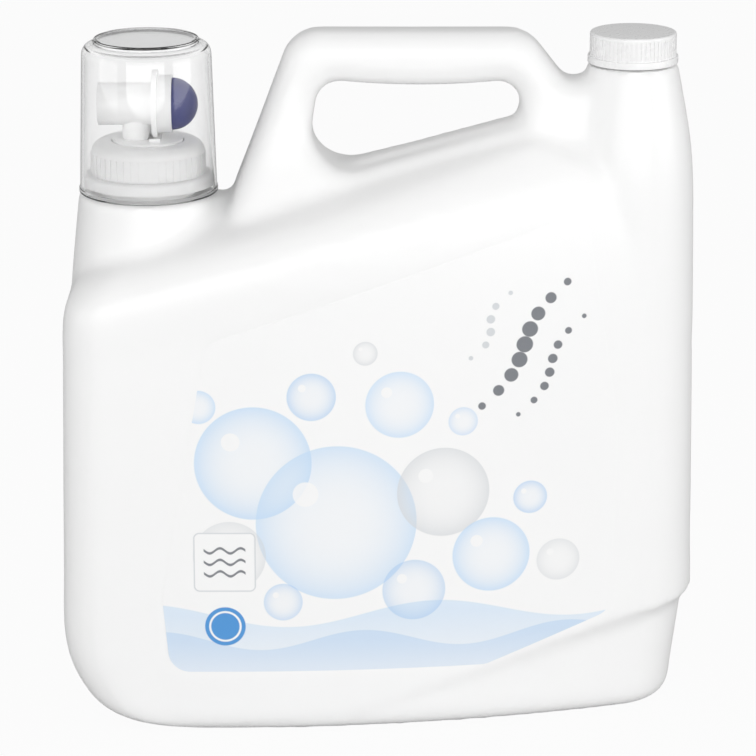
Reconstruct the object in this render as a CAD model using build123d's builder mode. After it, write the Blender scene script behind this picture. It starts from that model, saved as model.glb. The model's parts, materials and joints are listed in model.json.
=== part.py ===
from build123d import *
from math import asin, cos, degrees, radians, sin, sqrt, tan
import os

# Laundry bottle of 4.4 litres: a blow-moulded body with a hand hole, a press tap under a clear
# dosing cup at one shoulder and a small screw cap on a vent tower at the other.
# Millimetres, +Z up, the origin on the base's middle. The label faces -Y, the tap is at -X.

os.makedirs("parts", exist_ok=True)

# Bottle: driving sizes
body_left = -133.0  # the tap end, at the base
body_right = 133.0  # the vent end, at the base
half_depth = 51.0  # from the mould's parting plane to the front, at the base
draft = tan(radians(0.9))  # how fast every wall leans in, going up
wall = 1.0
bite = 0.5  # how far joined pieces run into each other
corner_radius = 17.0  # upright corners at the tap end
corner_growth = 0.2  # of those corners, for each mm that the lower corner draws in
flat_end = -65.0  # where the flat front turns into its long curve
nose_radius = 29.7  # round upright end under the vent tower
base_radius = 8.0  # edge between the walls and the base
base_corner_width = 34.0  # the large lower corner at the tap end, seen from the front
base_corner_height = 46.0
base_taper = 0.14  # how fast the vent end leans in towards the base
push_up = 2.5  # hollow of the base panel
hollow_side_run = 3.5
hollow_flat = 1.0  # the hollow's straight stretch between its corner and the long curve
foot_width = 14.0  # of the ring that the bottle stands on

# Roof: a ridge that climbs towards the vent end
roof_pitch = 15.4  # degrees, along X
gable = 20.0  # degrees, falling to the front and the back
wall_top = 207.4  # where the walls start to turn into the roof, over the origin
ridge_half_width = 5.0
roof_edge_radius = 20.0
roof_left_taper = 0.8  # how much of the roof's narrowing its tap end follows
roof_right_taper = 0.3  # and its vent end, along the rounded edge
roof_corner_share = 0.6  # largest corner of a roof section, of its half width
nose_drop = 48.0  # how far the vent end has stepped back at the roof's edge
nose_drop_start = 105.0
nose_drop_end = 222.0
nose_drop_power = 4.5  # the higher, the later it steps back
roof_end_slope = 1.4  # how far the roof's vent end draws back for each mm it climbs past that

# Chin: the lower corner at the vent end, set back behind a step
chin_setback = 3.8
chin_start = -15.0
chin_line = ((chin_start, 8.0), (42.0, 24.5), (100.0, 42.0), (140.0, 49.0))
chin_top = 100.0

# Vent tower and neck
tower_x = body_right - nose_radius
tower_profile = (
    (24.0, 125.0),
    (26.8, 150.0),
    (27.0, 180.0),
    (26.4, 208.0),
    (24.6, 241.0),
    (21.6, 258.5),
    (18.4, 274.5),
)
vent_neck_radius = 14.9
vent_bore_radius = 12.9
vent_neck_height = 10.6
vent_shoulder_z = tower_profile[-1][1]
vent_rim_z = vent_shoulder_z + vent_neck_height

# Tap boss and neck
tap_x = -95.5
boss_top_z = 221.0
boss_profile = ((33.5, 170.0), (31.4, 196.0), (29.4, 214.0), (28.8, 219.5))
boss_edge = 1.4
tap_neck_radius = 20.0
tap_bore_radius = 18.0
tap_neck_height = 16.5
tap_rim_z = boss_top_z + tap_neck_height

# Handle
handle_top_z = 288.8
handle_edge_radius = 9.0
handle_edge_start_z = 215.5  # the rounding of its edges starts here, over the roof
handle_outline = (
    (-66.0, 200.0),
    (-60.0, 223.0),
    (-35.7, handle_top_z),
    (60.0, handle_top_z),
    (75.7, 268.6),
    (95.0, 268.6),
    (95.0, 215.0),
)
handle_corner_radii = (16.0, 17.0)  # the two upper corners
handle_dip_radius = 7.0  # between the handle and the vent tower
handle_thickness = ((33.0, 200.0), (27.0, 215.0), (19.5, 232.0), (14.5, 250.0), (12.5, 268.0), (11.5, 290.0))
hand_hole_top = ((-25.0, 268.8), (15.0, 266.2), (57.0, 268.8))
hand_hole_low = ((57.6, 251.0), (-31.5, 226.5))
hand_hole_radii = (9.0, 3.5, 16.0, 10.0)  # from the upper vent side round to the upper tap side

# Label: film in a shallow panel of the front
label_thickness = 0.25
label_recess = 0.3
label_margin = 1.2
label_corners = (
    (-70.8, 168.3),
    (84.0, 219.5),
    (98.5, 130.0),
    (97.0, 48.0),
    (44.0, 27.5),
    (-87.0, 27.5),
    (-90.0, 60.0),
)
label_corner_radius = 9.0

# Screw closure of the tap
gasket_thickness = 1.2
gasket_overhang = 0.8  # of the gasket and the tap's foot past the neck's outside
foot_thickness = 2.3  # of the tap's foot, clamped between the gasket and the closure
closure_wall = 1.5
closure_thread_gap = 1.8  # room for the thread between the neck and the closure
closure_running_gap = 0.3
closure_bottom_gap = 3.5
closure_flange_width = 3.3
closure_flange_height = 4.8
closure_flange_edge = 1.6
closure_shoulder = 4.5
closure_rib_count = 48
closure_rib_height = 0.35
closure_rib_width = 1.0
closure_radius = tap_neck_radius + closure_thread_gap + closure_wall
closure_flange_radius = closure_radius + closure_flange_width
closure_bottom_z = boss_top_z + closure_bottom_gap
closure_flange_z = closure_bottom_z + closure_flange_height
foot_radius = tap_neck_radius + gasket_overhang
gasket_top_z = tap_rim_z + gasket_thickness
closure_top_z = gasket_top_z + foot_thickness + closure_wall

# Tap body
plateau_radius = 14.6
plateau_rise = 0.8  # over the closure's top
plateau_edge = 0.5
inlet_radius = 6.1
inlet_bore_radius = 4.4
inlet_back = 4.3  # how far the inlet stands off the neck's axis, towards the spout
spout_reach = 20.0  # from the neck's axis to the spout's end
spout_radius = 8.75
outlet_bore_radius = 7.2
seat_back = 10.5  # from the neck's axis to the valve's seat
seat_width = 1.6
seat_bore_radius = 4.6
chamber_bore_radius = 6.6
chamber_wall = 1.5
grip_forward = 2.2  # from the neck's axis to the grip plate
grip_thickness = 2.2
grip_radius = 14.2
housing_length = 5.9
housing_radius = 11.9
housing_wall = 0.9
housing_floor = 1.0
foot_block_size = (4.6, 19.0, 1.4)
gusset_thickness = 1.6
gusset_spacing = 13.0
gusset_run = 2.2
gusset_height = 4.6
gusset_slope = 0.4
plateau_z = closure_top_z + plateau_rise
tap_axis_z = plateau_z + grip_radius
inlet_x = tap_x - inlet_back
spout_end_x = tap_x - spout_reach
seat_x = tap_x - seat_back
grip_x = tap_x + grip_forward
chamber_end_x = grip_x - chamber_wall
grip_end_x = grip_x + grip_thickness
housing_end_x = grip_end_x + housing_length

# Button and valve plunger
button_radius = 10.7
button_depth = 10.45
button_wall = 1.2
button_edge = 0.7  # of its skirt inside the housing
stem_radius = 1.5
stem_gap = 0.08
stem_end_gap = 0.6  # from the stem's end to the dome's wall
stem_socket_radius = 2.8
stem_socket_depth = 4.0
valve_radius = 5.7
valve_thickness = 1.9
valve_cone = 0.9

# Dosing cup, upside down over the tap
cup_rim_radius = 28.6
cup_bead_height = 2.0
cup_low_radius = 28.2
cup_high_radius = 26.5
cup_height = 62.7
cup_corner_radius = 4.5
cup_wall = 1.3
cup_dish_radius = 20.5
cup_dish_depth = 0.5
cup_dish_slope = 30.0  # degrees
cup_seat_gap = 0.3
cup_bottom_z = boss_top_z + cup_seat_gap
cup_top_z = cup_bottom_z + cup_height

# Vent cap
vent_cap_wall = 1.4
vent_cap_thread_gap = 1.4  # room for the thread between the neck and the cap
vent_cap_plate = 1.5
vent_cap_skirt_width = 0.8
vent_cap_skirt_height = 2.8
vent_cap_skirt_edge = 0.3
vent_cap_bottom_gap = 0.7
vent_cap_edge = 0.9
vent_knurl_count = 60
vent_knurl_depth = 0.3
vent_knurl_width = 0.8
vent_knurl_end = 0.6  # how far it stops short of the rounded edge
liner_thickness = 1.0
liner_gap = 0.1
vent_cap_radius = vent_neck_radius + vent_cap_thread_gap + vent_cap_wall
vent_cap_skirt_radius = vent_cap_radius + vent_cap_skirt_width
vent_cap_bottom_z = vent_shoulder_z + vent_cap_bottom_gap
vent_cap_skirt_z = vent_cap_bottom_z + vent_cap_skirt_height
vent_cap_top_z = vent_rim_z + liner_thickness + vent_cap_plate


def tilted(height, degrees_up):
    """A plane over the origin at this height, climbing towards +X."""
    x_dir = (cos(radians(degrees_up)), 0, sin(radians(degrees_up)))
    z_dir = (-sin(radians(degrees_up)), 0, cos(radians(degrees_up)))
    return Plane(origin=(0, 0, height), x_dir=x_dir, z_dir=z_dir)


def plan(plane, left, nose_x, nose, half, corner):
    """The bottle seen from above: flat tap end, long front curve, round vent end."""
    bow = ((nose_x - flat_end) ** 2 + half**2 - nose**2) / (2 * (half - nose))
    turn = degrees(asin((nose_x - flat_end) / (bow - nose)))
    with BuildSketch(plane) as section:
        with BuildLine():
            Line((left, corner - half), (left, half - corner))
            CenterArc((left + corner, half - corner), corner, 180, -90)
            Line((left + corner, half), (flat_end, half))
            CenterArc((flat_end, half - bow), bow, 90, -turn)
            CenterArc((nose_x, 0), nose, 90 - turn, 2 * turn - 180)
            CenterArc((flat_end, bow - half), bow, turn - 90, -turn)
            Line((flat_end, -half), (left + corner, -half))
            CenterArc((left + corner, corner - half), corner, 270, -90)
        make_face()
    return section.sketch


def wall_sections(inset, setback, top):
    """Sections from the base up to this height over the origin, tilting with the roof."""
    rounding = base_radius - inset
    low = [base_radius - rounding * cos(radians(a)) for a in (0, 22.5, 45, 67.5, 90)]
    low += [base_radius + (base_corner_height - base_radius) * share for share in (0.18, 0.44, 0.72)]
    high = [base_corner_height, 62.0, 80.0, 100.0, 120.0, 140.0, 160.0, 176.0, 192.0, wall_top]
    for z in [h for h in low + high if h <= top]:
        lift = max(0.0, base_corner_height - z) / (base_corner_height - inset)
        corner_in = base_corner_width * (1 - sqrt(max(0.0, 1 - lift**2)))
        edge = max(0.0, base_radius - z)
        shrink = base_radius - sqrt(max(0.0, rounding**2 - edge**2))
        lean = draft * z
        pitch = roof_pitch * max(0.0, z - base_corner_height) / (wall_top - base_corner_height)
        stretch = 1 / cos(radians(pitch))
        toe = base_taper * max(0.0, base_corner_height - z)
        yield plan(
            tilted(z, pitch),
            (body_left + lean + corner_in + shrink) * stretch,
            (body_right - nose_radius - toe - stepped_back(z)) * stretch,
            nose_radius - lean - shrink - setback,
            half_depth - lean - shrink,
            corner_radius + corner_growth * corner_in - inset,
        )


def stepped_back(height):
    """How far the vent end has stepped back at this height over the origin."""
    climb = max(0.0, height - nose_drop_start) / (nose_drop_end - nose_drop_start)
    return nose_drop * climb**nose_drop_power


def roof_sections(inset):
    """Sections over the roof's rounded edge and up the gable to the ridge."""
    stretch = 1 / cos(radians(roof_pitch))
    lean = draft * wall_top
    start_half = half_depth - lean
    rounding = roof_edge_radius - inset
    turns = [radians(a) for a in (18, 36, 54, 90 - gable)]
    steps = [(rounding * sin(a), roof_edge_radius - rounding * cos(a)) for a in turns]
    rise, shrink = steps[-1]
    for half in (24.0, 14.0, ridge_half_width):
        run = start_half - shrink - half
        steps.append((rise + run * tan(radians(gable)), start_half - half))
    for up, narrower in steps:
        half = start_half - narrower
        blunt = nose_radius - lean - roof_right_taper * min(narrower, shrink)
        nose = blunt * min(1.0, half / (start_half - shrink))
        height = wall_top + up
        right = body_right - lean - stepped_back(min(height, nose_drop_end)) - inset
        right -= roof_end_slope * max(0.0, height - nose_drop_end)
        yield plan(
            tilted(height, roof_pitch),
            (body_left + lean + roof_left_taper * narrower) * stretch,
            right * stretch - nose,
            nose,
            half,
            min(corner_radius, roof_corner_share * half),
        )


def body_form(inset):
    """The bottle's main body as a closed form, shrunk all round by the inset."""
    with BuildPart() as form:
        for section in wall_sections(inset, 0, wall_top):
            add(section)
        for section in roof_sections(inset):
            add(section)
        loft()
    return form.part


def chin_cut(inset):
    """What the step takes off the lower vent end, front and back."""
    with BuildPart() as low_form:
        for section in wall_sections(inset, chin_setback, chin_top):
            add(section)
        loft()
    with BuildPart() as cut:
        with BuildSketch(Plane.XZ):
            with BuildLine():
                line = Spline(*[(x, z + inset) for x, z in chin_line])
                below = -chin_setback
                Polyline(line @ 1, ((line @ 1).X, below), (chin_start, below), line @ 0)
            make_face()
        extrude(amount=half_depth + chin_setback, both=True)
        add(low_form.part, mode=Mode.SUBTRACT)
    return cut.part


def tower(inset):
    """The vent tower: round, tapering up to the shoulder under the vent cap."""
    with BuildPart() as form:
        with BuildSketch(Plane.XZ):
            with BuildLine():
                side = Spline(*[(tower_x + r - inset, z - inset) for r, z in tower_profile])
                Polyline(side @ 1, (tower_x, (side @ 1).Y), (tower_x, (side @ 0).Y), side @ 0)
            make_face()
        revolve(axis=Axis((tower_x, 0, 0), (0, 0, 1)))
    return form.part


def boss(inset):
    """The round boss under the tap: it flares into the shoulder."""
    with BuildPart() as form:
        with BuildSketch(Plane.XZ):
            with BuildLine():
                side = Spline(*[(tap_x + r - inset, z - inset) for r, z in boss_profile])
                edge = side @ 1 + (-boss_edge, boss_top_z - boss_profile[-1][1])
                Polyline(side @ 1, edge, (tap_x, edge.Y), (tap_x, (side @ 0).Y), side @ 0)
            make_face()
        revolve(axis=Axis((tap_x, 0, 0), (0, 0, 1)))
    return form.part


def handle(inset):
    """The handle with its two legs: a thick plate with a hand hole, rounded all round."""
    with BuildSketch(Plane.XZ) as face:
        with BuildLine():
            Polyline(*handle_outline, close=True)
        make_face()
        for spot, radius in zip(handle_outline[2:4], handle_corner_radii):
            fillet(face.vertices().sort_by_distance(spot)[0], radius - inset)
        fillet(face.vertices().sort_by_distance(handle_outline[4])[0], handle_dip_radius + inset)
        if inset:
            offset(amount=-inset, kind=Kind.INTERSECTION)
    with BuildSketch(Plane.XZ) as hole:
        with BuildLine():
            belly = ThreePointArc(*hand_hole_top)
            Polyline(belly @ 1, *hand_hole_low, belly @ 0)
        make_face()
        for spot, radius in zip((hand_hole_top[2], *hand_hole_low, hand_hole_top[0]), hand_hole_radii):
            fillet(hole.vertices().sort_by_distance(spot)[0], radius)
        if inset:
            offset(amount=inset)
    with BuildSketch(Plane.YZ.offset(body_left)) as thickness:
        with BuildLine():
            front = Spline(*[(half - inset, z) for half, z in handle_thickness])
            foot, crest = front @ 0, front @ 1
            Polyline(crest, (0, crest.Y), (0, foot.Y), foot)
        make_face()
        mirror(about=Plane.YZ)
    with BuildPart() as form:
        extrude(face.sketch, amount=half_depth, both=True)
        extrude(hole.sketch, amount=half_depth, both=True, mode=Mode.SUBTRACT)
        extrude(thickness.sketch, amount=body_right - body_left, mode=Mode.INTERSECT)
        rims = form.edges().filter_by(lambda e: abs((e @ 0.5).Y) > 1 and (e @ 0.5).Z > handle_edge_start_z)
        fillet(rims, handle_edge_radius - inset)
    return form.part


def base_hollow(inset):
    """The hollow of the base panel, as a closed form."""
    with BuildPart() as form:
        for z, lean_in in ((-wall, 0.0), (push_up + inset, hollow_side_run)):
            inward = base_radius + foot_width + lean_in - inset
            left = body_left + base_corner_width + inward
            add(
                plan(
                    Plane.XY.offset(z),
                    left,
                    body_right - nose_radius - base_taper * base_corner_height,
                    nose_radius - inward,
                    half_depth - inward,
                    flat_end - left - hollow_flat,
                )
            )
        loft()
    return form.part


def bottle_form(inset):
    """Everything that was blown in one piece, below the two necks."""
    body, cut, vent, tap, grip = body_form(inset), chin_cut(inset), tower(inset), boss(inset), handle(inset)
    with BuildPart() as form:
        add(body)
        add(cut, mode=Mode.SUBTRACT)
        add([vent, tap, grip])
        add(base_hollow(inset), mode=Mode.SUBTRACT)
    return form.part


def front_panel(margin):
    """The label's outline pushed through the front wall, grown by a margin."""
    with BuildPart() as form:
        with BuildSketch(Plane.XZ) as outline:
            with BuildLine():
                Polyline(*label_corners, close=True)
            make_face()
            fillet(outline.vertices(), label_corner_radius)
            if margin:
                offset(amount=margin)
        extrude(amount=half_depth + wall)
    return form.part


outer = bottle_form(0)
cavity = bottle_form(wall)
recess_floor = body_form(label_recess)
recess = front_panel(label_margin) - recess_floor

# Bottle: blown in one piece, with two necks to carry the tap and the vent cap
with BuildPart() as bottle:
    add(outer)
    add(recess, mode=Mode.SUBTRACT)
    for x, shoulder, height, radius in (
        (tap_x, boss_top_z, tap_neck_height, tap_neck_radius),
        (tower_x, vent_shoulder_z, vent_neck_height, vent_neck_radius),
    ):
        with BuildSketch(Plane.XY.offset(shoulder - bite)):
            with Locations((x, 0)):
                Circle(radius)
        extrude(amount=height + bite)
    add(cavity, mode=Mode.SUBTRACT)
    for x, rim, height, radius in (
        (tap_x, tap_rim_z, tap_neck_height, tap_bore_radius),
        (tower_x, vent_rim_z, vent_neck_height, vent_bore_radius),
    ):
        with BuildSketch(Plane.XY.offset(rim)):
            with Locations((x, 0)):
                Circle(radius)
        extrude(amount=-(height + wall + bite), mode=Mode.SUBTRACT)
bottle.part.label = "bottle"
export_step(bottle.part, "parts/bottle.step")
print("litres to the brim:", cavity.volume / 1e6)

# Label: one film in its panel
label_film = front_panel(0) & (body_form(label_recess - label_thickness) - recess_floor)
with BuildPart() as front_label:
    add(label_film)
front_label.part.label = "front_label"
export_step(front_label.part, "parts/front_label.step")

# Screw closure: ribbed skirt, wide flange, and a hole that the tap's plateau passes
with BuildPart() as tap_closure:
    with BuildSketch(Plane.XZ):
        with BuildLine():
            inner = closure_radius - closure_wall
            Polyline(
                (tap_x + plateau_radius + closure_running_gap, closure_top_z),
                (tap_x + closure_radius, closure_top_z),
                (tap_x + closure_radius, closure_flange_z),
                (tap_x + closure_flange_radius, closure_flange_z),
                (tap_x + closure_flange_radius, closure_bottom_z),
                (tap_x + inner, closure_bottom_z),
                (tap_x + inner, closure_top_z - closure_wall),
                (tap_x + plateau_radius + closure_running_gap, closure_top_z - closure_wall),
                close=True,
            )
        make_face()
    revolve(axis=Axis((tap_x, 0, 0), (0, 0, 1)))
    for radius, rounding in ((closure_radius, closure_shoulder), (closure_flange_radius, closure_flange_edge)):
        rings = tap_closure.edges().filter_by(GeomType.CIRCLE).filter_by(lambda e: abs(e.radius - radius) < 0.01)
        fillet(rings.group_by(Axis.Z)[-1], rounding)
    with Locations(Plane.XY.offset(closure_flange_z)):
        with Locations((tap_x, 0)):
            with PolarLocations(closure_radius, closure_rib_count):
                Box(
                    2 * closure_rib_height,
                    closure_rib_width,
                    closure_top_z - closure_shoulder - closure_flange_z,
                    align=(Align.CENTER, Align.CENTER, Align.MIN),
                )
tap_closure.part.label = "tap_closure"
export_step(tap_closure.part, "parts/tap_closure.step")

# Gasket between the neck's rim and the tap's foot
with BuildPart() as closure_gasket:
    with BuildSketch(Plane.XY.offset(tap_rim_z)):
        with Locations((tap_x, 0)):
            Circle(foot_radius)
            Circle(tap_bore_radius, mode=Mode.SUBTRACT)
    extrude(amount=gasket_thickness)
closure_gasket.part.label = "closure_gasket"
export_step(closure_gasket.part, "parts/closure_gasket.step")

# Tap body: foot, plateau, inlet, spout, grip plate and button housing in one moulding
with BuildPart() as tap_body:
    with BuildSketch(Plane.XY.offset(gasket_top_z)):
        with Locations((tap_x, 0)):
            Circle(foot_radius)
    extrude(amount=foot_thickness)
    with BuildSketch(Plane.XY.offset(gasket_top_z)):
        with Locations((tap_x, 0)):
            Circle(plateau_radius)
    extrude(amount=plateau_z - gasket_top_z)
    fillet(tap_body.edges().filter_by(GeomType.CIRCLE).sort_by(Axis.Z)[-1], plateau_edge)
    with BuildSketch(Plane.XY.offset(gasket_top_z)):
        with Locations((inlet_x, 0)):
            Circle(inlet_radius)
    extrude(amount=tap_axis_z - gasket_top_z)
    with BuildSketch(Plane.YZ.offset(spout_end_x)):
        with Locations((0, tap_axis_z)):
            Circle(spout_radius)
    extrude(amount=grip_x - spout_end_x)
    with BuildSketch(Plane.YZ.offset(grip_x)):
        with Locations((0, tap_axis_z)):
            Circle(grip_radius)
    extrude(amount=grip_thickness)
    with BuildSketch(Plane.YZ.offset(grip_end_x)):
        with Locations((0, tap_axis_z)):
            Circle(housing_radius)
    extrude(amount=housing_length)
    with BuildSketch(Plane.XY.offset(plateau_z - bite)):
        with Locations((grip_x + grip_thickness / 2, 0)):
            Rectangle(foot_block_size[0], foot_block_size[1])
    extrude(amount=foot_block_size[2] + bite)
    with BuildSketch(Plane.XZ.offset(-gusset_thickness / 2)) as gusset:
        with BuildLine():
            Polyline(
                (grip_x - gusset_run, plateau_z),
                (grip_x + bite, plateau_z),
                (grip_x + bite, plateau_z + gusset_height + gusset_slope),
                (grip_x, plateau_z + gusset_height),
                close=True,
            )
        make_face()
    with Locations((0, gusset_spacing / 2, 0), (0, -gusset_spacing / 2, 0)):
        add(extrude(gusset.sketch, amount=gusset_thickness, mode=Mode.PRIVATE))
    for start, end, radius in (
        (spout_end_x, seat_x, outlet_bore_radius),
        (seat_x, seat_x + seat_width, seat_bore_radius),
        (seat_x + seat_width, chamber_end_x, chamber_bore_radius),
        (chamber_end_x, grip_end_x + housing_floor, stem_radius + stem_gap),
        (grip_end_x + housing_floor, housing_end_x, housing_radius - housing_wall),
    ):
        with BuildSketch(Plane.YZ.offset(start)):
            with Locations((0, tap_axis_z)):
                Circle(radius)
        extrude(amount=end - start, mode=Mode.SUBTRACT)
    with BuildSketch(Plane.XY.offset(gasket_top_z)):
        with Locations((inlet_x, 0)):
            Circle(inlet_bore_radius)
    extrude(amount=tap_axis_z - gasket_top_z, mode=Mode.SUBTRACT)
tap_body.part.label = "tap_body"
export_step(tap_body.part, "parts/tap_body.step")

# Button: a soft dome with a short skirt inside the housing and a socket for the stem
button_root_x = housing_end_x - button_edge
button_tip_x = housing_end_x + button_depth
stem_end_x = button_tip_x - button_wall - stem_end_gap
with BuildPart() as push_button:
    with BuildSketch(Plane.XZ):
        with BuildLine():
            middle = (housing_end_x, tap_axis_z)
            dome = EllipticalCenterArc(middle, button_depth, button_radius, 0, arc_size=90)
            hollow = EllipticalCenterArc(
                middle, button_depth - button_wall, button_radius - button_wall, 0, arc_size=90
            )
            Polyline(dome @ 1, (button_root_x, (dome @ 1).Y), (button_root_x, (hollow @ 1).Y), hollow @ 1)
            Line(hollow @ 0, dome @ 0)
        make_face()
        with BuildLine():
            Polyline(
                (stem_end_x - stem_socket_depth, tap_axis_z),
                (stem_end_x - stem_socket_depth, tap_axis_z + stem_socket_radius),
                (stem_end_x + stem_end_gap - 0.2, tap_axis_z + stem_socket_radius),
                (button_tip_x - button_wall / 2, tap_axis_z),
                close=True,
            )
        make_face()
        with BuildLine():
            Polyline(
                (button_root_x - bite, tap_axis_z),
                (button_root_x - bite, tap_axis_z + stem_radius + stem_gap),
                (stem_end_x, tap_axis_z + stem_radius + stem_gap),
                (stem_end_x, tap_axis_z),
                close=True,
            )
        make_face(mode=Mode.SUBTRACT)
    revolve(axis=Axis((0, 0, tap_axis_z), (1, 0, 0)))
push_button.part.label = "push_button"
export_step(push_button.part, "parts/push_button.step")

# Valve plunger: a stem from the button through the chamber to the disc that closes the spout
with BuildPart() as valve_plunger:
    with BuildSketch(Plane.XZ):
        with BuildLine():
            Polyline(
                (seat_x - valve_thickness, tap_axis_z),
                (seat_x - valve_thickness, tap_axis_z + valve_radius - valve_cone),
                (seat_x - valve_cone, tap_axis_z + valve_radius),
                (seat_x, tap_axis_z + valve_radius),
                (seat_x, tap_axis_z + stem_radius),
                (stem_end_x, tap_axis_z + stem_radius),
                (stem_end_x, tap_axis_z),
                close=True,
            )
        make_face()
    revolve(axis=Axis((0, 0, tap_axis_z), (1, 0, 0)))
valve_plunger.part.label = "valve_plunger"
export_step(valve_plunger.part, "parts/valve_plunger.step")

# Dosing cup
with BuildPart() as dosing_cup:
    with BuildSketch(Plane.XZ) as profile:
        with BuildLine():
            Polyline(
                (tap_x, cup_top_z),
                (tap_x + cup_high_radius, cup_top_z),
                (tap_x + cup_low_radius, cup_bottom_z + cup_bead_height),
                (tap_x + cup_rim_radius, cup_bottom_z + cup_bead_height),
                (tap_x + cup_rim_radius, cup_bottom_z),
                (tap_x + cup_low_radius - cup_wall, cup_bottom_z),
                (tap_x + cup_high_radius - cup_wall, cup_top_z - cup_wall),
                (tap_x, cup_top_z - cup_wall),
                close=True,
            )
        make_face()
        for inward in (0, cup_wall):
            corner = (tap_x + cup_high_radius - inward, cup_top_z - inward)
            fillet(profile.vertices().sort_by_distance(corner)[0], cup_corner_radius - inward)
    revolve(axis=Axis((tap_x, 0, 0), (0, 0, 1)))
    with BuildSketch(Plane.XY.offset(cup_top_z)):
        with Locations((tap_x, 0)):
            Circle(cup_dish_radius)
    extrude(amount=-cup_dish_depth, taper=cup_dish_slope, mode=Mode.SUBTRACT)
dosing_cup.part.label = "dosing_cup"
export_step(dosing_cup.part, "parts/dosing_cup.step")

# Vent cap: knurled side over a plain lower band
with BuildPart() as vent_cap:
    with BuildSketch(Plane.XZ) as profile:
        with BuildLine():
            inner = vent_cap_radius - vent_cap_wall
            Polyline(
                (tower_x, vent_cap_top_z),
                (tower_x + vent_cap_radius, vent_cap_top_z),
                (tower_x + vent_cap_radius, vent_cap_skirt_z),
                (tower_x + vent_cap_skirt_radius, vent_cap_skirt_z),
                (tower_x + vent_cap_skirt_radius, vent_cap_bottom_z),
                (tower_x + inner, vent_cap_bottom_z),
                (tower_x + inner, vent_rim_z + liner_thickness),
                (tower_x, vent_rim_z + liner_thickness),
                close=True,
            )
        make_face()
        for radius, z, rounding in (
            (vent_cap_radius, vent_cap_top_z, vent_cap_edge),
            (vent_cap_skirt_radius, vent_cap_skirt_z, vent_cap_skirt_edge),
        ):
            fillet(profile.vertices().sort_by_distance((tower_x + radius, z))[0], rounding)
    revolve(axis=Axis((tower_x, 0, 0), (0, 0, 1)))
    with Locations((tower_x, 0, vent_cap_skirt_z)):
        with PolarLocations(vent_cap_radius, vent_knurl_count):
            Box(
                2 * vent_knurl_depth,
                vent_knurl_width,
                vent_cap_top_z - vent_cap_edge - vent_knurl_end - vent_cap_skirt_z,
                align=(Align.CENTER, Align.CENTER, Align.MIN),
                mode=Mode.SUBTRACT,
            )
vent_cap.part.label = "vent_cap"
export_step(vent_cap.part, "parts/vent_cap.step")

# Liner inside the vent cap
with BuildPart() as vent_cap_liner:
    with BuildSketch(Plane.XY.offset(vent_rim_z)):
        with Locations((tower_x, 0)):
            Circle(vent_cap_radius - vent_cap_wall - liner_gap)
    extrude(amount=liner_thickness)
vent_cap_liner.part.label = "vent_cap_liner"
export_step(vent_cap_liner.part, "parts/vent_cap_liner.step")
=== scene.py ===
import json
import math

import bmesh
import bpy
import numpy as np
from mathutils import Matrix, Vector


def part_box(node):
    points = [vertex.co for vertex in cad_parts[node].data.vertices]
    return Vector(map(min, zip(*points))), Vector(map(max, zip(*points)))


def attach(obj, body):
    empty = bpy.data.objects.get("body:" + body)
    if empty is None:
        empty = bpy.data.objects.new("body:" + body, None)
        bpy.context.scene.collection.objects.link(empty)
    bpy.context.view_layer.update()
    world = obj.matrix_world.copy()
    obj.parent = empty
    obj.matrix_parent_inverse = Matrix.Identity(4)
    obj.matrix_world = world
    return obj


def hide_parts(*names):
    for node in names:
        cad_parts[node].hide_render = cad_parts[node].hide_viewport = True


# A white laundry bottle with a press tap under a clear dosing cup, in studio light.
# Metres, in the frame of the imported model: the label faces -Y and the tap is at -X.

MM = 0.001
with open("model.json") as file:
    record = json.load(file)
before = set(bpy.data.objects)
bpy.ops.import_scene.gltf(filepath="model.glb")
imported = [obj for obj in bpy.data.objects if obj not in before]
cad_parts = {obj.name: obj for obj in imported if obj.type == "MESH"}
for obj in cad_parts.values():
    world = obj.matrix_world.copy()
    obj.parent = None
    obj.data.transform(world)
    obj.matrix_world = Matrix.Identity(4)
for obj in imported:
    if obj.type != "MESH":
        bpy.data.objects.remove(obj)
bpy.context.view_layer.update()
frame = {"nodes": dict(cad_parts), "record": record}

BODY_OF = {node: body for body, nodes in frame["record"]["behaviour"]["bodies"].items() for node in nodes}


def add_object(name, data):
    """A new object in the scene."""
    made = bpy.data.objects.new(name, data)
    bpy.context.scene.collection.objects.link(made)
    return made


# Camera: the photograph's view, from the front and a little above

IMAGE_PX = 756
FOCAL_PX = 3500
SENSOR_MM = 36.0
LOOK_DOWN = math.radians(17.0)
CAMERA_RANGE = 1.470
CAMERA_TARGET = Vector((-0.84 * MM, 0.0, 139.7 * MM))


def make_camera():
    data = bpy.data.cameras.new("camera")
    data.sensor_width = SENSOR_MM
    data.lens = FOCAL_PX / IMAGE_PX * SENSOR_MM
    camera = add_object("camera", data)
    back = Vector((0.0, -math.cos(LOOK_DOWN), math.sin(LOOK_DOWN)))
    camera.location = CAMERA_TARGET + back * CAMERA_RANGE
    camera.rotation_euler = (math.pi / 2 - LOOK_DOWN, 0.0, 0.0)
    bpy.context.scene.camera = camera


# Light: a wide soft box in front, weaker ones at the sides, and a pale world around

# Name, place, width and height in metres, power in watts
SOFT_BOXES = (
    ("front_box", (0.0, -2.8, 0.30), (3.8, 2.2), 70),
    ("left_box", (-2.4, -0.9, 0.40), (1.8, 1.8), 13),
    ("right_box", (2.4, -0.9, 0.40), (1.8, 1.8), 24),
)
LAMP_AIM = Vector((0.0, 0.0, 0.14))
WORLD_STRENGTH = 0.56
# The world's grey at two heights, from the horizon at 0 to straight up at 1
WORLD_GREYS = ((0.10, 0.88), (0.85, 1.0))
FLOOR_SIZE = 8.0
FLOOR_GREY = 0.50
FLOOR_ROUGHNESS = 0.9
FLOOR_GLOW_SHARE = 0.95  # the rest of what the camera sees of the floor is lit, and holds the shadow


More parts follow.
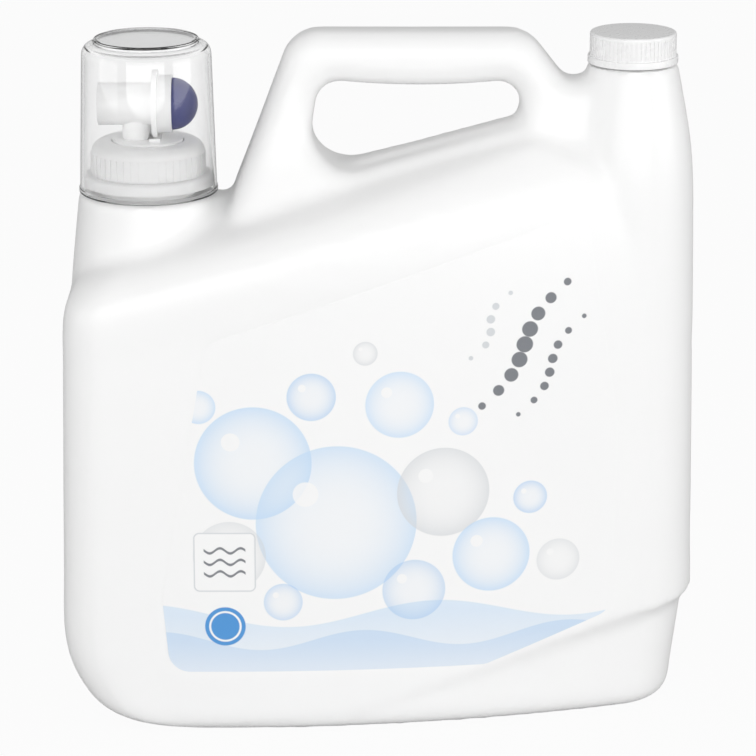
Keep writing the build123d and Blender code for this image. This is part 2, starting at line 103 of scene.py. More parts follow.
def make_lights():
    for name, place, size, watts in SOFT_BOXES:
        data = bpy.data.lights.new(name, "AREA")
        data.shape = "RECTANGLE"
        data.size, data.size_y = size
        data.energy = watts
        lamp = add_object(name, data)
        lamp.location = place
        lamp.rotation_euler = (LAMP_AIM - Vector(place)).to_track_quat("-Z", "Y").to_euler()


def seen_directly(tree):
    """1 for what the camera sees, also through the clear cup, and 0 for light on its way to a surface."""
    path = tree.nodes.new("ShaderNodeLightPath")
    either = tree.nodes.new("ShaderNodeMath")
    either.operation = "MAXIMUM"
    tree.links.new(path.outputs["Is Camera Ray"], either.inputs[0])
    tree.links.new(path.outputs["Is Transmission Ray"], either.inputs[1])
    return either.outputs[0]


def make_world():
    """White to the camera, and a plain level of light for the bottle."""
    world = bpy.data.worlds.new("studio")
    bpy.context.scene.world = world
    world.use_nodes = True
    nodes, links = world.node_tree.nodes, world.node_tree.links
    nodes.clear()
    place = nodes.new("ShaderNodeTexCoord")
    split = nodes.new("ShaderNodeSeparateXYZ")
    ramp = nodes.new("ShaderNodeValToRGB")
    for element, (height, grey) in zip(ramp.color_ramp.elements, WORLD_GREYS):
        element.position = height
        element.color = (grey, grey, grey, 1)
    around = nodes.new("ShaderNodeBackground")
    around.inputs["Strength"].default_value = WORLD_STRENGTH
    seen = nodes.new("ShaderNodeBackground")
    seen.inputs["Color"].default_value = (1, 1, 1, 1)
    seen.inputs["Strength"].default_value = 1.0
    mix = nodes.new("ShaderNodeMixShader")
    out = nodes.new("ShaderNodeOutputWorld")
    links.new(place.outputs["Generated"], split.inputs[0])
    links.new(split.outputs["Z"], ramp.inputs["Fac"])
    links.new(ramp.outputs["Color"], around.inputs["Color"])
    links.new(seen_directly(world.node_tree), mix.inputs["Fac"])
    links.new(around.outputs[0], mix.inputs[1])
    links.new(seen.outputs[0], mix.inputs[2])
    links.new(mix.outputs[0], out.inputs["Surface"])


def make_stage():
    """A floor that shows white to the camera and still takes the bottle's shadow."""
    bpy.ops.mesh.primitive_plane_add(size=FLOOR_SIZE)
    floor = bpy.context.object
    floor.name = "floor"
    material = bpy.data.materials.new("floor_white")
    material.use_nodes = True
    tree = material.node_tree
    shader = tree.nodes["Principled BSDF"]
    shader.inputs["Base Color"].default_value = (FLOOR_GREY, FLOOR_GREY, FLOOR_GREY, 1)
    shader.inputs["Roughness"].default_value = FLOOR_ROUGHNESS
    glow = tree.nodes.new("ShaderNodeEmission")
    glow.inputs["Strength"].default_value = 1.0
    share = tree.nodes.new("ShaderNodeMath")
    share.operation = "MULTIPLY"
    share.inputs[1].default_value = FLOOR_GLOW_SHARE
    mix = tree.nodes.new("ShaderNodeMixShader")
    tree.links.new(seen_directly(tree), share.inputs[0])
    tree.links.new(share.outputs[0], mix.inputs["Fac"])
    tree.links.new(shader.outputs[0], mix.inputs[1])
    tree.links.new(glow.outputs[0], mix.inputs[2])
    tree.links.new(mix.outputs[0], tree.nodes["Material Output"].inputs["Surface"])
    floor.data.materials.append(material)


# Materials

class Finish:
    """A material's node tree, with Object coordinates and a Principled shader to hand."""

    def __init__(self, name):
        self.material = bpy.data.materials.new(name)
        self.material.use_nodes = True
        self.tree = self.material.node_tree
        self.tree.nodes.clear()
        self.shader = self.node("ShaderNodeBsdfPrincipled")
        out = self.node("ShaderNodeOutputMaterial")
        self.link(self.shader.outputs["BSDF"], out.inputs["Surface"])
        self.place = self.node("ShaderNodeTexCoord").outputs["Object"]

    def node(self, kind, **settings):
        node = self.tree.nodes.new(kind)
        for key, value in settings.items():
            setattr(node, key, value)
        return node

    def link(self, source, target):
        self.tree.links.new(source, target)

    def set(self, **values):
        for key, value in values.items():
            self.shader.inputs[key.replace("_", " ")].default_value = value

    def noise(self, size, detail=3.0):
        """Noise from 0 to 1 whose features are about this size in millimetres."""
        noise = self.node("ShaderNodeTexNoise")
        noise.inputs["Scale"].default_value = 1.0 / (size * MM)
        noise.inputs["Detail"].default_value = detail
        self.link(self.place, noise.inputs["Vector"])
        return noise.outputs["Fac"]

    def spread(self, value, low, high, start=0.0, end=1.0):
        """A value between start and end, spread from low to high."""
        spread = self.node("ShaderNodeMapRange")
        spread.inputs["From Min"].default_value = start
        spread.inputs["From Max"].default_value = end
        spread.inputs["To Min"].default_value = low
        spread.inputs["To Max"].default_value = high
        self.link(value, spread.inputs["Value"])
        return spread.outputs["Result"]

    def math(self, operation, *values):
        node = self.node("ShaderNodeMath", operation=operation)
        for socket, value in zip(node.inputs, values):
            if isinstance(value, (int, float)):
                socket.default_value = value
            else:
                self.link(value, socket)
        return node.outputs[0]

    def blend(self, share, under, over):
        """A colour mixed by a 0 to 1 share. Each colour is a tuple or a socket."""
        mix = self.node("ShaderNodeMix", data_type="RGBA")
        self.link(share, mix.inputs[0])
        for socket, value in ((mix.inputs[6], under), (mix.inputs[7], over)):
            if isinstance(value, tuple):
                socket.default_value = (*value, 1.0)
            else:
                self.link(value, socket)
        return mix.outputs[2]

    def paint(self, color):
        self.link(color, self.shader.inputs["Base Color"])

    def roughen(self, patch, low, high, detail=3.0):
        """Roughness that drifts between two values over patches of this size in millimetres."""
        self.link(self.spread(self.noise(patch, detail), low, high), self.shader.inputs["Roughness"])

    def bump(self, grain, depth, strength):
        """Fine relief of this grain and depth in millimetres."""
        bump = self.node("ShaderNodeBump")
        bump.inputs["Strength"].default_value = strength
        bump.inputs["Distance"].default_value = depth * MM
        self.link(self.noise(grain, 2.0), bump.inputs["Height"])
        self.link(bump.outputs["Normal"], self.shader.inputs["Normal"])


def plain_finish(name, tones, tone_patch, roughness, rough_patch, relief=None, tone_detail=2.0, **shader):
    """One colour that drifts between two tones, over patches given in millimetres.

    The relief is its grain and depth in millimetres, and its strength.
    """
    finish = Finish(name)
    finish.paint(finish.blend(finish.noise(tone_patch, tone_detail), *tones))
    finish.roughen(rough_patch, *roughness)
    if relief:
        finish.bump(*relief)
    finish.set(**shader)
    return finish.material


def blown_plastic():
    """White bottle plastic: satin, with the faint orange peel of a sand-blasted mould."""
    return plain_finish(
        "blown_white_plastic", tones=((0.895, 0.895, 0.893), (0.915, 0.915, 0.913)), tone_patch=60,
        roughness=(0.30, 0.38), rough_patch=9, relief=(0.8, 0.02, 0.6), IOR=1.50,
    )


def tap_plastic():
    """Natural polypropylene of the tap and its closure: white and slightly see-through."""
    return plain_finish(
        "tap_polypropylene", tones=((0.86, 0.86, 0.86), (0.91, 0.91, 0.91)), tone_patch=14,
        roughness=(0.26, 0.36), rough_patch=3, relief=(0.5, 0.01, 0.5), IOR=1.49,
        Subsurface_Weight=0.2, Subsurface_Radius=(1.0, 1.0, 1.0), Subsurface_Scale=2 * MM,
    )


def cap_plastic():
    """Glossy white of the vent cap."""
    return plain_finish(
        "cap_polypropylene", tones=((0.87, 0.87, 0.87), (0.90, 0.90, 0.90)), tone_patch=12,
        roughness=(0.24, 0.32), rough_patch=4, IOR=1.49,
    )


def button_elastomer():
    """Deep blue soft plastic of the press button."""
    return plain_finish(
        "button_elastomer", tones=((0.020, 0.026, 0.150), (0.029, 0.036, 0.185)), tone_patch=6,
        roughness=(0.40, 0.52), rough_patch=1.5, relief=(0.4, 0.01, 0.5), IOR=1.45,
    )


def plunger_plastic():
    return plain_finish(
        "plunger_acetal", tones=((0.82, 0.83, 0.84), (0.87, 0.88, 0.89)), tone_patch=5,
        roughness=(0.30, 0.42), rough_patch=2, IOR=1.48,
    )


def gasket_rubber():
    return plain_finish(
        "gasket_rubber", tones=((0.60, 0.60, 0.59), (0.68, 0.68, 0.66)), tone_patch=4,
        roughness=(0.60, 0.75), rough_patch=1,
    )


def liner_foam():
    return plain_finish(
        "liner_foam", tones=((0.66, 0.66, 0.65), (0.76, 0.76, 0.74)), tone_patch=1.2, tone_detail=3.0,
        roughness=(0.75, 0.90), rough_patch=1, relief=(0.3, 0.03, 0.8),
    )


CUP_CLEAR = (0.965, 0.965, 0.965)
# Painted shade: the grey that the cup's tint is darkened towards where its wall is seen edge on
CUP_PAINTED_EDGE_SHADE = (0.30, 0.31, 0.32)
CUP_EDGE_SHADE_POWER = 4.0


def cup_plastic():
    """Clear polypropylene of the dosing cup, with painted shade: its tint is darkened where the wall is seen
    edge on, to draw dark lines along its edges.
    """
    finish = Finish("cup_clear_plastic")
    finish.roughen(8, 0.01, 0.05, detail=2.0)
    slant = finish.node("ShaderNodeLayerWeight").outputs["Facing"]
    # Painted shade at the cup's edges: the more edge on the wall is seen, the darker its tint
    painted_edge_shade = finish.math("POWER", slant, CUP_EDGE_SHADE_POWER)
    finish.paint(finish.blend(painted_edge_shade, CUP_CLEAR, CUP_PAINTED_EDGE_SHADE))
    finish.set(Transmission_Weight=1.0, IOR=1.40)
    return finish.material


# The label's print: soap bubbles over a wave, strands of dots, a square and a badge, in blue and grey.
# Places and sizes are in millimetres, across from the bottle's middle and up from its base.

FILM_WHITE = (0.905, 0.905, 0.903)
PALE_BLUE = (0.52, 0.69, 0.88)
MID_BLUE = (0.34, 0.55, 0.82)
BADGE_BLUE = (0.08, 0.30, 0.66)
PALE_GREY = (0.64, 0.66, 0.68)
DARK_GREY = (0.20, 0.21, 0.23)
PRINT_EDGE = 0.25  # how soft the edge of a printed shape is

# Height, swing, length, phase, colour, strength
WAVES = (
    (52, 5.0, 120, 0.4, PALE_BLUE, 0.55),
    (41, 4.0, 84, 2.1, MID_BLUE, 0.38),
)
WAVE_DEPTH = 30  # how far below its crest line a wave fades
WAVE_FADED = 0.1

# Across, up, radius, colour, strength
BUBBLES = (
    (-52, 118, 24, PALE_BLUE, 0.9),
    (-18, 92, 33, PALE_BLUE, 0.8),
    (26, 104, 19, PALE_GREY, 0.8),
    (-62, 78, 15, PALE_GREY, 0.6),
    (8, 142, 14, PALE_BLUE, 0.8),
    (46, 76, 16, PALE_BLUE, 0.9),
    (-28, 146, 10, MID_BLUE, 0.7),
    (14, 62, 13, MID_BLUE, 0.6),
    (-74, 142, 7, PALE_BLUE, 0.9),
    (62, 100, 7, MID_BLUE, 0.7),
    (34, 134, 6, MID_BLUE, 0.5),
    (-40, 58, 8, MID_BLUE, 0.6),
    (74, 72, 9, PALE_GREY, 0.6),
    (-6, 164, 5, PALE_GREY, 0.8),
)
BUBBLE_MIDDLE = 0.12  # how much of its colour a bubble has in the middle
BUBBLE_RIM = 0.75  # and how much more at its rim
BUBBLE_RIM_POWER = 3.0
# The glint's place and radius are shares of the bubble's radius
GLINT_AWAY = 0.38
GLINT_RADIUS = 0.16
GLINT_STRENGTH = 0.85

# Start across and up, run across and up, number of dots, largest radius, colour
STRANDS = (
    (38.0, 137.0, 42.0, 57.0, 9, 3.4, DARK_GREY),
    (53.0, 133.0, 34.0, 46.0, 8, 2.0, DARK_GREY),
    (33.0, 158.0, 24.0, 32.0, 6, 1.8, PALE_GREY),
)
STRAND_SWAY = 4.0
SMALLEST_DOT = 0.35  # as a share of the largest

TILE = (-64.0, 75.5, 12.8, 2.5)  # a framed square: across, up, half its side, corner radius
TILE_LINE = 0.5
STROKE_ROWS = (-5.0, 0.0, 5.0)
STROKE_SWING = 1.1
STROKE_LENGTH = 8.5  # of one wave
STROKE_HALF_WIDTH = 0.55
STROKE_REACH = 8.6
BADGE = (-64.0, 47.5, 8.4)  # across, up, radius
BADGE_RING = (0.70, 0.80)  # the white ring's radii, as shares of the badge's


class Print(Finish):
    """A finish whose colour is laid down shape by shape, flat on the label as seen along Y."""

    def __init__(self, name, ground):
        super().__init__(name)
        self.color = ground
        self.flat = self.vector("MULTIPLY", self.place, (1.0, 0.0, 1.0))
        axes = self.node("ShaderNodeSeparateXYZ")
        self.link(self.flat, axes.inputs[0])
        self.across, self.up = axes.outputs["X"], axes.outputs["Z"]

    def vector(self, operation, *values):
        node = self.node("ShaderNodeVectorMath", operation=operation)
        for socket, value in zip(node.inputs, values):
            if isinstance(value, tuple):
                socket.default_value = value
            else:
                self.link(value, socket)
        return node.outputs["Value" if operation in ("DISTANCE", "LENGTH") else "Vector"]

    def distance_to(self, x, z):
        return self.vector("DISTANCE", self.flat, (x * MM, 0.0, z * MM))

    def distance_from(self, axis, value):
        return self.math("ABSOLUTE", self.math("SUBTRACT", axis, value))

    def inside(self, distance, edge):
        """1 where the distance is under this many millimetres, with a soft step."""
        step = self.node("ShaderNodeMapRange", interpolation_type="SMOOTHSTEP")
        step.inputs["From Min"].default_value = (edge + PRINT_EDGE) * MM
        step.inputs["From Max"].default_value = (edge - PRINT_EDGE) * MM
        self.link(distance, step.inputs["Value"])
        return step.outputs["Result"]

    def crest(self, height, swing, length, phase):
        """The height of a wave's line."""
        angle = self.math("MULTIPLY_ADD", self.across, 2 * math.pi / (length * MM), phase)
        return self.math("MULTIPLY_ADD", self.math("SINE", angle), swing * MM, height * MM)

    def lay(self, share, tint):
        """This much of a colour goes over what is printed so far."""
        self.color = self.blend(share, self.color, tint)


def print_waves(label):
    for height, swing, length, phase, tint, strength in WAVES:
        above = label.math("SUBTRACT", label.up, label.crest(height, swing, length, phase))
        fade = label.spread(
            label.up, WAVE_FADED * strength, strength, start=(height - WAVE_DEPTH) * MM, end=height * MM
        )
        label.lay(label.math("MULTIPLY", label.inside(above, 0.0), fade), tint)


def print_bubbles(label):
    for x, z, radius, tint, strength in BUBBLES:
        away = label.distance_to(x, z)
        share = label.math("MULTIPLY", away, 1 / (radius * MM))
        rim = label.math("POWER", share, BUBBLE_RIM_POWER)
        film = label.math("MULTIPLY_ADD", rim, BUBBLE_RIM * strength, BUBBLE_MIDDLE * strength)
        label.lay(label.math("MULTIPLY", label.inside(away, radius), film), tint)
        from_glint = label.distance_to(x - GLINT_AWAY * radius, z + GLINT_AWAY * radius)
        glint = label.inside(from_glint, GLINT_RADIUS * radius)
        label.lay(label.math("MULTIPLY", glint, GLINT_STRENGTH), FILM_WHITE)


def print_strands(label):
    """Rising strands of dots that are largest in the middle."""
    for x, z, run, rise, dots, largest, tint in STRANDS:
        for index in range(dots):
            along = (index + 0.5) / dots
            sway = STRAND_SWAY * math.sin(2 * math.pi * along)
            radius = largest * (SMALLEST_DOT + (1 - SMALLEST_DOT) * math.sin(math.pi * along))
            away = label.distance_to(x + run * along + sway, z + rise * along)
            label.lay(label.inside(away, radius), tint)


def print_tile(label):
    """The framed square with its wavy strokes."""
    x, z, half, corner = TILE
    straight = (half - corner) * MM
    from_middle = label.vector("ABSOLUTE", label.vector("SUBTRACT", label.flat, (x * MM, 0.0, z * MM)))
    past_straight = label.vector("SUBTRACT", from_middle, (straight, 0.0, straight))
    reach = label.vector("LENGTH", label.vector("MAXIMUM", past_straight, (0.0, 0.0, 0.0)))
    label.lay(label.inside(reach, corner), PALE_GREY)
    label.lay(label.inside(reach, corner - TILE_LINE), FILM_WHITE)
    for row in STROKE_ROWS:
        crest = label.crest(z + row, STROKE_SWING, STROKE_LENGTH, 0.0)
        stroke = label.inside(label.distance_from(label.up, crest), STROKE_HALF_WIDTH)
        within = label.inside(label.distance_from(label.across, x * MM), STROKE_REACH)
        label.lay(label.math("MULTIPLY", stroke, within), DARK_GREY)


def print_badge(label):
    """The blue disc with a white ring in it."""
    x, z, radius = BADGE
    away = label.distance_to(x, z)
    label.lay(label.inside(away, radius), BADGE_BLUE)
    within, past = (label.inside(away, share * radius) for share in reversed(BADGE_RING))
    label.lay(label.math("MULTIPLY", within, label.math("SUBTRACT", 1.0, past)), FILM_WHITE)


def label_film():
    label = Print("label_film", FILM_WHITE)
    print_waves(label)
    print_bubbles(label)
    print_strands(label)
    print_tile(label)
    print_badge(label)
    label.paint(label.color)
    label.roughen(10, 0.30, 0.38)
    label.set(IOR=1.50)
    return label.material


# Pieces taken from the model: a merged, smooth-shaded copy stands for each node

MERGE_WITHIN = 1e-7
SHARP_DEGREES = 32


def merged_copy(node, name):
    """The node's mesh as one closed mesh in an object of its own."""
    mesh = frame["nodes"][node].data.copy()
    mesh.name = name
    for key in [a.name for a in mesh.attributes if a.name.startswith("custom_normal")]:
        mesh.attributes.remove(mesh.attributes[key])
    shape = bmesh.new()
    shape.from_mesh(mesh)
    bmesh.ops.remove_doubles(shape, verts=shape.verts, dist=MERGE_WITHIN)
    shape.to_mesh(mesh)
    shape.free()
    return add_object(name, mesh)


def shade(piece, sharp_degrees):
    """Smooth shading, with edges left sharp past this angle."""
    piece.data.shade_smooth()
    piece.data.set_sharp_from_angle(angle=math.radians(sharp_degrees))


def finish_piece(piece, node, material):
    """The piece gets its material, rides on the node's body and stands for the node."""
    piece.data.materials.clear()
    piece.data.materials.append(material)
    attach(piece, BODY_OF[node])
    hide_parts(node)


def dress(node, name, material):
    piece = merged_copy(node, name)
    shade(piece, SHARP_DEGREES)
    finish_piece(piece, node, material)


# The bottle: its outside is melted together as a blown skin, and its inside and necks are cut true

TAP_AXIS_X = -95.5 * MM
VENT_AXIS_X = 103.3 * MM
# Each neck's outer radius, the heights of its shoulder and rim over the base, and its thread
TAP_NECK = {
    "axis": TAP_AXIS_X,
    "radius": 20.0 * MM,
    "shoulder": 221.0 * MM,
    "rim": 237.5 * MM,
    "thread_depth": 1.2 * MM,
    "thread_start": 4.5 * MM,
}
VENT_NECK = {
    "axis": VENT_AXIS_X,
    "radius": 14.9 * MM,
    "shoulder": 274.5 * MM,
    "rim": 285.1 * MM,
    "thread_depth": 0.9 * MM,
    "thread_start": 2.4 * MM,
}
NECKS = (TAP_NECK, VENT_NECK)
NEAR = 0.02 * MM
OPENING_RAISE = 1.0 * MM  # how far the space inside is drawn out past a neck's rim, to cut it open
PLUG_SINK = 1.2 * MM  # how far a neck's plug reaches down into the shoulder
PLUG_SEGMENTS = 128
SKIN_VOXEL = 2.0 * MM
SKIN_SHARP_DEGREES = 40

HOLLOW_START = 0.05  # how hollow a spot is before it melts, as a share of a voxel
HOLLOW_FULL = 0.16
MELT_SPREAD = 4  # how many edges the melting reaches past a hollow spot
MELT_STEPS = 60
POLISH_STEPS = 3
SMOOTH_SHARE = 0.5  # of the way to the middle of the neighbours
SMOOTH_BACK_SHARE = 0.53  # so that polishing doesn't shrink the skin

THREAD_PITCH = 4.23 * MM
THREAD_STOP = 2.2 * MM  # under the rim
THREAD_ROOT = 2.6 * MM
THREAD_CREST = 0.9 * MM
THREAD_RUN_OUT = 0.08  # share of the length that tapers at each end
THREAD_TIP = 0.05  # share of its size that is left at the very end
THREAD_RESOLUTION = 96  # points per turn


def from_axis(point, axis_x):
    return math.hypot(point.x - axis_x, point.y)


def islands(shape):
    """The loose parts of a bmesh, as lists of vertices, largest first."""
    left, found = set(shape.verts), []
    while left:
        start = left.pop()
        part, front = [start], [start]
        while front:
            for edge in front.pop().link_edges:
                for vert in edge.verts:
                    if vert in left:
                        left.discard(vert)
                        part.append(vert)
                        front.append(vert)
        found.append(part)
    return sorted(found, key=len, reverse=True)


def span(verts):
    return max(v.co.x for v in verts) - min(v.co.x for v in verts)


def neck_faces(shape, at_height):
    """The faces that lie within a neck's radius, at heights that suit that neck."""
    return [
        face
        for face in shape.faces
        for neck in NECKS
        if all(
            at_height(v.co.z, neck) and from_axis(v.co, neck["axis"]) < neck["radius"] + NEAR
            for v in face.verts
        )
    ]


def split_skins():
    """Two closed meshes from the bottle's node: its outside without necks, and the space inside it."""
    whole = merged_copy("bottle", "bottle_outside")
    shape = bmesh.new()
    shape.from_mesh(whole.data)
    rims = neck_faces(shape, lambda height, neck: abs(height - neck["rim"]) < NEAR)
    bmesh.ops.delete(shape, geom=rims, context="FACES")
    inner = min(islands(shape)[:2], key=span)

    # The space inside, drawn out past both rims so that it cuts the necks open
    inside = shape.copy()
    keep = {v.index for v in inner}
    inside.verts.ensure_lookup_table()
    bmesh.ops.delete(inside, geom=[v for v in inside.verts if v.index not in keep], context="VERTS")
    rim_edges = [e for e in inside.edges if e.is_boundary]
    drawn = bmesh.ops.extrude_edge_only(inside, edges=rim_edges)["geom"]
    drawn_verts = [g for g in drawn if isinstance(g, bmesh.types.BMVert)]
    bmesh.ops.translate(inside, verts=drawn_verts, vec=(0, 0, OPENING_RAISE))
    bmesh.ops.holes_fill(inside, edges=[e for e in inside.edges if e.is_boundary])
    bmesh.ops.recalc_face_normals(inside, faces=inside.faces)
    space = add_object("bottle_space", bpy.data.meshes.new("bottle_space"))
    inside.to_mesh(space.data)
    inside.free()

    # The outside, with its necks taken off and the holes closed
    bmesh.ops.delete(shape, geom=inner, context="VERTS")
    necks = neck_faces(shape, lambda height, neck: height > neck["shoulder"] - NEAR)
    bmesh.ops.delete(shape, geom=necks, context="FACES")
    bmesh.ops.holes_fill(shape, edges=[e for e in shape.edges if e.is_boundary])
    shape.to_mesh(whole.data)
    shape.free()
    return whole, space


def bake_modifiers(piece):
    """The piece's mesh becomes what its modifiers make of it."""
    bpy.context.view_layer.update()
    graph = bpy.context.evaluated_depsgraph_get()
    mesh = bpy.data.meshes.new_from_object(piece.evaluated_get(graph), depsgraph=graph)
    piece.modifiers.clear()
    piece.data = mesh
    return piece


def soften(piece):
    """Rounds the inside corners as a blown wall does, and polishes the rest lightly."""
    mesh = piece.data
    count = len(mesh.vertices)
    points = np.empty(count * 3)
    mesh.vertices.foreach_get("co", points)
    points = points.reshape(-1, 3)
    normals = np.empty(count * 3)
    mesh.vertices.foreach_get("normal", normals)
    normals = normals.reshape(-1, 3)
    ends = np.empty(len(mesh.edges) * 2, dtype=np.int64)
    mesh.edges.foreach_get("vertices", ends)
    first, second = ends.reshape(-1, 2).T
    degree = (np.bincount(first, minlength=count) + np.bincount(second, minlength=count)).astype(float)

    def mean_of_neighbours(values):
        total = np.empty_like(values)
        for column in range(values.shape[1]):
            total[:, column] = np.bincount(first, values[second, column], count)
            total[:, column] += np.bincount(second, values[first, column], count)
        return total / degree[:, None]

    toward = mean_of_neighbours(points) - points
    hollow = np.einsum("ij,ij->i", toward, normals) / SKIN_VOXEL
    melt = np.clip((hollow - HOLLOW_START) / (HOLLOW_FULL - HOLLOW_START), 0.0, 1.0)[:, None]
    for _ in range(MELT_SPREAD):
        melt = np.maximum(melt, mean_of_neighbours(melt))
    for _ in range(MELT_STEPS):
        points += SMOOTH_SHARE * melt * (mean_of_neighbours(points) - points)
    for _ in range(POLISH_STEPS):
        points += SMOOTH_SHARE * (mean_of_neighbours(points) - points)
        points -= SMOOTH_BACK_SHARE * (mean_of_neighbours(points) - points)
    mesh.vertices.foreach_set("co", points.ravel())
    mesh.update()


def cut(piece, tool, operation):
    """A boolean between two closed meshes; the tool is used up."""
    boolean = piece.modifiers.new("cut", "BOOLEAN")
    boolean.operation = operation
    boolean.solver = "MANIFOLD"
    boolean.object = tool
    bake_modifiers(piece)
    bpy.data.objects.remove(tool)


def neck_plug(neck):
    """A plain plug of the neck's outer size, from inside the shoulder's wall to the rim."""
    low, high, radius = neck["shoulder"] - PLUG_SINK, neck["rim"], neck["radius"]
    shape = bmesh.new()
    bmesh.ops.create_cone(
        shape, cap_ends=True, segments=PLUG_SEGMENTS, radius1=radius, radius2=radius, depth=high - low
    )
    bmesh.ops.translate(shape, verts=shape.verts, vec=(neck["axis"], 0.0, (high + low) / 2))
    mesh = bpy.data.meshes.new("neck_plug")
    shape.to_mesh(mesh)
    shape.free()
    return add_object("neck_plug", mesh)


def thread_tree():
    """A node group that winds one screw thread round +Z and thins it out at both ends."""
    tree = bpy.data.node_groups.new("screw_thread", "GeometryNodeTree")
    tree.interface.new_socket("Geometry", in_out="INPUT", socket_type="NodeSocketGeometry")
    for name in ("Axis X", "Start Height", "Radius", "Pitch", "Turns", "Depth"):
        tree.interface.new_socket(name, in_out="INPUT", socket_type="NodeSocketFloat")
    tree.interface.new_socket("Material", in_out="INPUT", socket_type="NodeSocketMaterial")
    tree.interface.new_socket("Geometry", in_out="OUTPUT", socket_type="NodeSocketGeometry")

    def fill(socket, value):
        if isinstance(value, bpy.types.NodeSocket):
            tree.links.new(value, socket)
        else:
            socket.default_value = value

    def node(kind, mode=None, **inputs):
        made = tree.nodes.new(kind)
        if mode:
            made.mode = mode
        for key, value in inputs.items():
            fill(made.inputs[key.replace("_", " ")], value)
        return made

    def math_node(operation, first, second):
        made = tree.nodes.new("ShaderNodeMath")
        made.operation = operation
        fill(made.inputs[0], first)
        fill(made.inputs[1], second)
        return made.outputs[0]

    given = tree.nodes.new("NodeGroupInput").outputs
    spiral = node(
        "GeometryNodeCurveSpiral", Resolution=THREAD_RESOLUTION, Rotations=given["Turns"],
        Start_Radius=given["Radius"], End_Radius=given["Radius"],
        Height=math_node("MULTIPLY", given["Pitch"], given["Turns"]),
    )
    upright = node("GeometryNodeSetCurveNormal", "Z_UP", Curve=spiral.outputs["Curve"])
    along = tree.nodes.new("GeometryNodeSplineParameter").outputs["Factor"]
    from_end = math_node("MINIMUM", along, math_node("SUBTRACT", 1.0, along))
    run_out = tree.nodes.new("ShaderNodeMapRange")
    run_out.interpolation_type = "SMOOTHSTEP"
    run_out.inputs["From Max"].default_value = THREAD_RUN_OUT
    run_out.inputs["To Min"].default_value = THREAD_TIP
    tree.links.new(from_end, run_out.inputs["Value"])
    thinned = node(
        "GeometryNodeSetCurveRadius", Curve=upright.outputs["Curve"], Radius=run_out.outputs["Result"]
    )
    # Half of the ridge's section lies outside the neck, so it is twice as high as the thread is deep
    ridge = node(
        "GeometryNodeCurvePrimitiveQuadrilateral", "TRAPEZOID",
        Height=math_node("MULTIPLY", given["Depth"], 2.0),
        Bottom_Width=THREAD_ROOT, Top_Width=THREAD_CREST, Offset=0.0,
    )
    outward = node("GeometryNodeTransform", Geometry=ridge.outputs["Curve"], Rotation=(0.0, 0.0, math.pi / 2))
    swept = node(
        "GeometryNodeCurveToMesh", Curve=thinned.outputs["Curve"], Profile_Curve=outward.outputs["Geometry"],
        Fill_Caps=True,
    )
    place = node("ShaderNodeCombineXYZ", X=given["Axis X"], Z=given["Start Height"])
    moved = node("GeometryNodeTransform", Geometry=swept.outputs["Mesh"], Translation=place.outputs["Vector"])
    real = node("GeometryNodeRealizeInstances", Geometry=moved.outputs["Geometry"])
    dressed = node("GeometryNodeSetMaterial", Geometry=real.outputs["Geometry"], Material=given["Material"])
    tree.links.new(dressed.outputs["Geometry"], tree.nodes.new("NodeGroupOutput").inputs["Geometry"])
    return tree


def wound_thread(tree, neck, material):
    """One neck's thread as a closed mesh."""
    thread = add_object("neck_thread", bpy.data.meshes.new("neck_thread"))
    modifier = thread.modifiers.new("thread", "NODES")
    modifier.node_group = tree
    start = neck["shoulder"] + neck["thread_start"]
    values = {
        "Axis X": neck["axis"],
        "Start Height": start,
        "Radius": neck["radius"],
        "Pitch": THREAD_PITCH,
        "Turns": (neck["rim"] - THREAD_STOP - start) / THREAD_PITCH,
        "Depth": neck["thread_depth"],
        "Material": material,
    }
    for socket in tree.interface.items_tree:
        if socket.in_out == "INPUT" and socket.name in values:
            modifier[socket.identifier] = values[socket.name]
    return bake_modifiers(thread)


def blown_bottle(material):
    outside, space = split_skins()
    remesh = outside.modifiers.new("skin", "REMESH")
    remesh.mode = "VOXEL"
    remesh.voxel_size = SKIN_VOXEL
    bake_modifiers(outside)
    soften(outside)
    threads = thread_tree()
    for neck in NECKS:
        cut(outside, neck_plug(neck), "UNION")
        cut(outside, wound_thread(threads, neck, material), "UNION")
    cut(outside, space, "DIFFERENCE")
    outside.name = "bottle_shell"
    shade(outside, SKIN_SHARP_DEGREES)
    finish_piece(outside, "bottle", material)


# The dosing cup: its wall's section turned round the tap's axis, upside down on its rim.
# Distance from the axis and height over the rim, in millimetres: up the outside, then down the inside.

CUP_OUTSIDE = (
    (27.3, 0.0), (28.4, 0.0), (28.6, 0.25), (28.6, 1.75), (28.45, 2.0), (28.2, 2.05), (26.58, 57.0),
)
CUP_CORNER = (22.0, 57.3, 4.5)  # centre and radius of the outside's rounded corner
CUP_CORNER_DEGREES = range(5, 90, 10)
CUP_DISC = ((21.7, 61.8), (21.5, 61.95), (21.4, 63.4), (21.1, 63.7), (0.0, 63.7))
CUP_INSIDE = (
    (0.0, 62.3), (19.8, 62.3), (20.2, 62.0), (20.5, 60.7), (22.0, 60.4), (24.2, 59.1), (25.0, 57.6),
    (25.2, 56.2), (26.9, 0.35),
)
CUP_SEGMENTS = 128
CUP_SHARP_DEGREES = 30


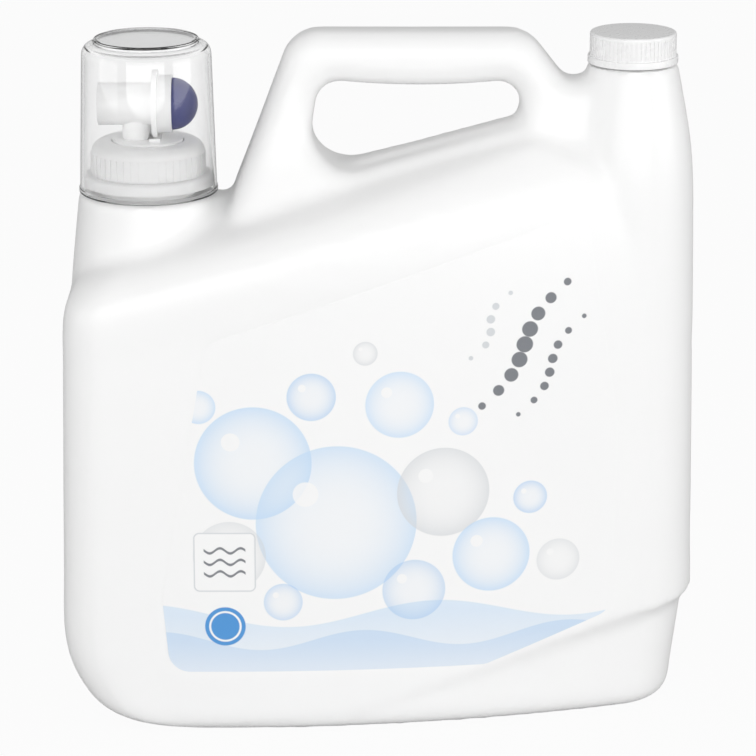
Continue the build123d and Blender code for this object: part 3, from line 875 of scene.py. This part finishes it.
def cup_section(low):
    """The wall's section, from the rim up the outside and its raised disc, and back down the inside."""
    across, up, radius = CUP_CORNER
    turn = [math.radians(degrees) for degrees in CUP_CORNER_DEGREES]
    corner = [(across + radius * math.cos(a), up + radius * math.sin(a)) for a in turn]
    return [(x * MM, low + z * MM) for x, z in (*CUP_OUTSIDE, *corner, *CUP_DISC, *CUP_INSIDE)]


def turned_cup(material):
    """The section swept round the axis, ring by ring. A point on the axis is shared by its whole ring."""
    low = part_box("dosing_cup")[0][2]
    points, faces, rings = [], [], []
    for radius, height in cup_section(low):
        if radius < NEAR:
            rings.append([len(points)] * CUP_SEGMENTS)
            points.append((TAP_AXIS_X, 0.0, height))
            continue
        rings.append(list(range(len(points), len(points) + CUP_SEGMENTS)))
        for step in range(CUP_SEGMENTS):
            angle = 2 * math.pi * step / CUP_SEGMENTS
            points.append((TAP_AXIS_X + radius * math.cos(angle), radius * math.sin(angle), height))
    for ring, above in zip(rings, rings[1:] + rings[:1]):
        for step in range(CUP_SEGMENTS):
            ahead = (step + 1) % CUP_SEGMENTS
            face = list(dict.fromkeys([ring[step], ring[ahead], above[ahead], above[step]]))
            if len(face) > 2:
                faces.append(face)
    mesh = bpy.data.meshes.new("dosing_cup_clear")
    mesh.from_pydata(points, [], faces)
    mesh.validate()
    piece = add_object("dosing_cup_clear", mesh)
    shade(piece, CUP_SHARP_DEGREES)
    finish_piece(piece, "dosing_cup", material)


bpy.context.scene.view_settings.view_transform = "Standard"
make_camera()
make_lights()
make_world()
make_stage()

white = blown_plastic()
natural = tap_plastic()
blown_bottle(white)
dress("front_label", "label_film", label_film())
dress("tap_closure", "tap_closure_ribbed", natural)
dress("closure_gasket", "closure_gasket_ring", gasket_rubber())
dress("tap_body", "tap_body_moulding", natural)
dress("valve_plunger", "valve_plunger_stem", plunger_plastic())
dress("push_button", "push_button_dome", button_elastomer())
turned_cup(cup_plastic())
dress("vent_cap", "vent_cap_knurled", cap_plastic())
dress("vent_cap_liner", "vent_cap_liner_disc", liner_foam())
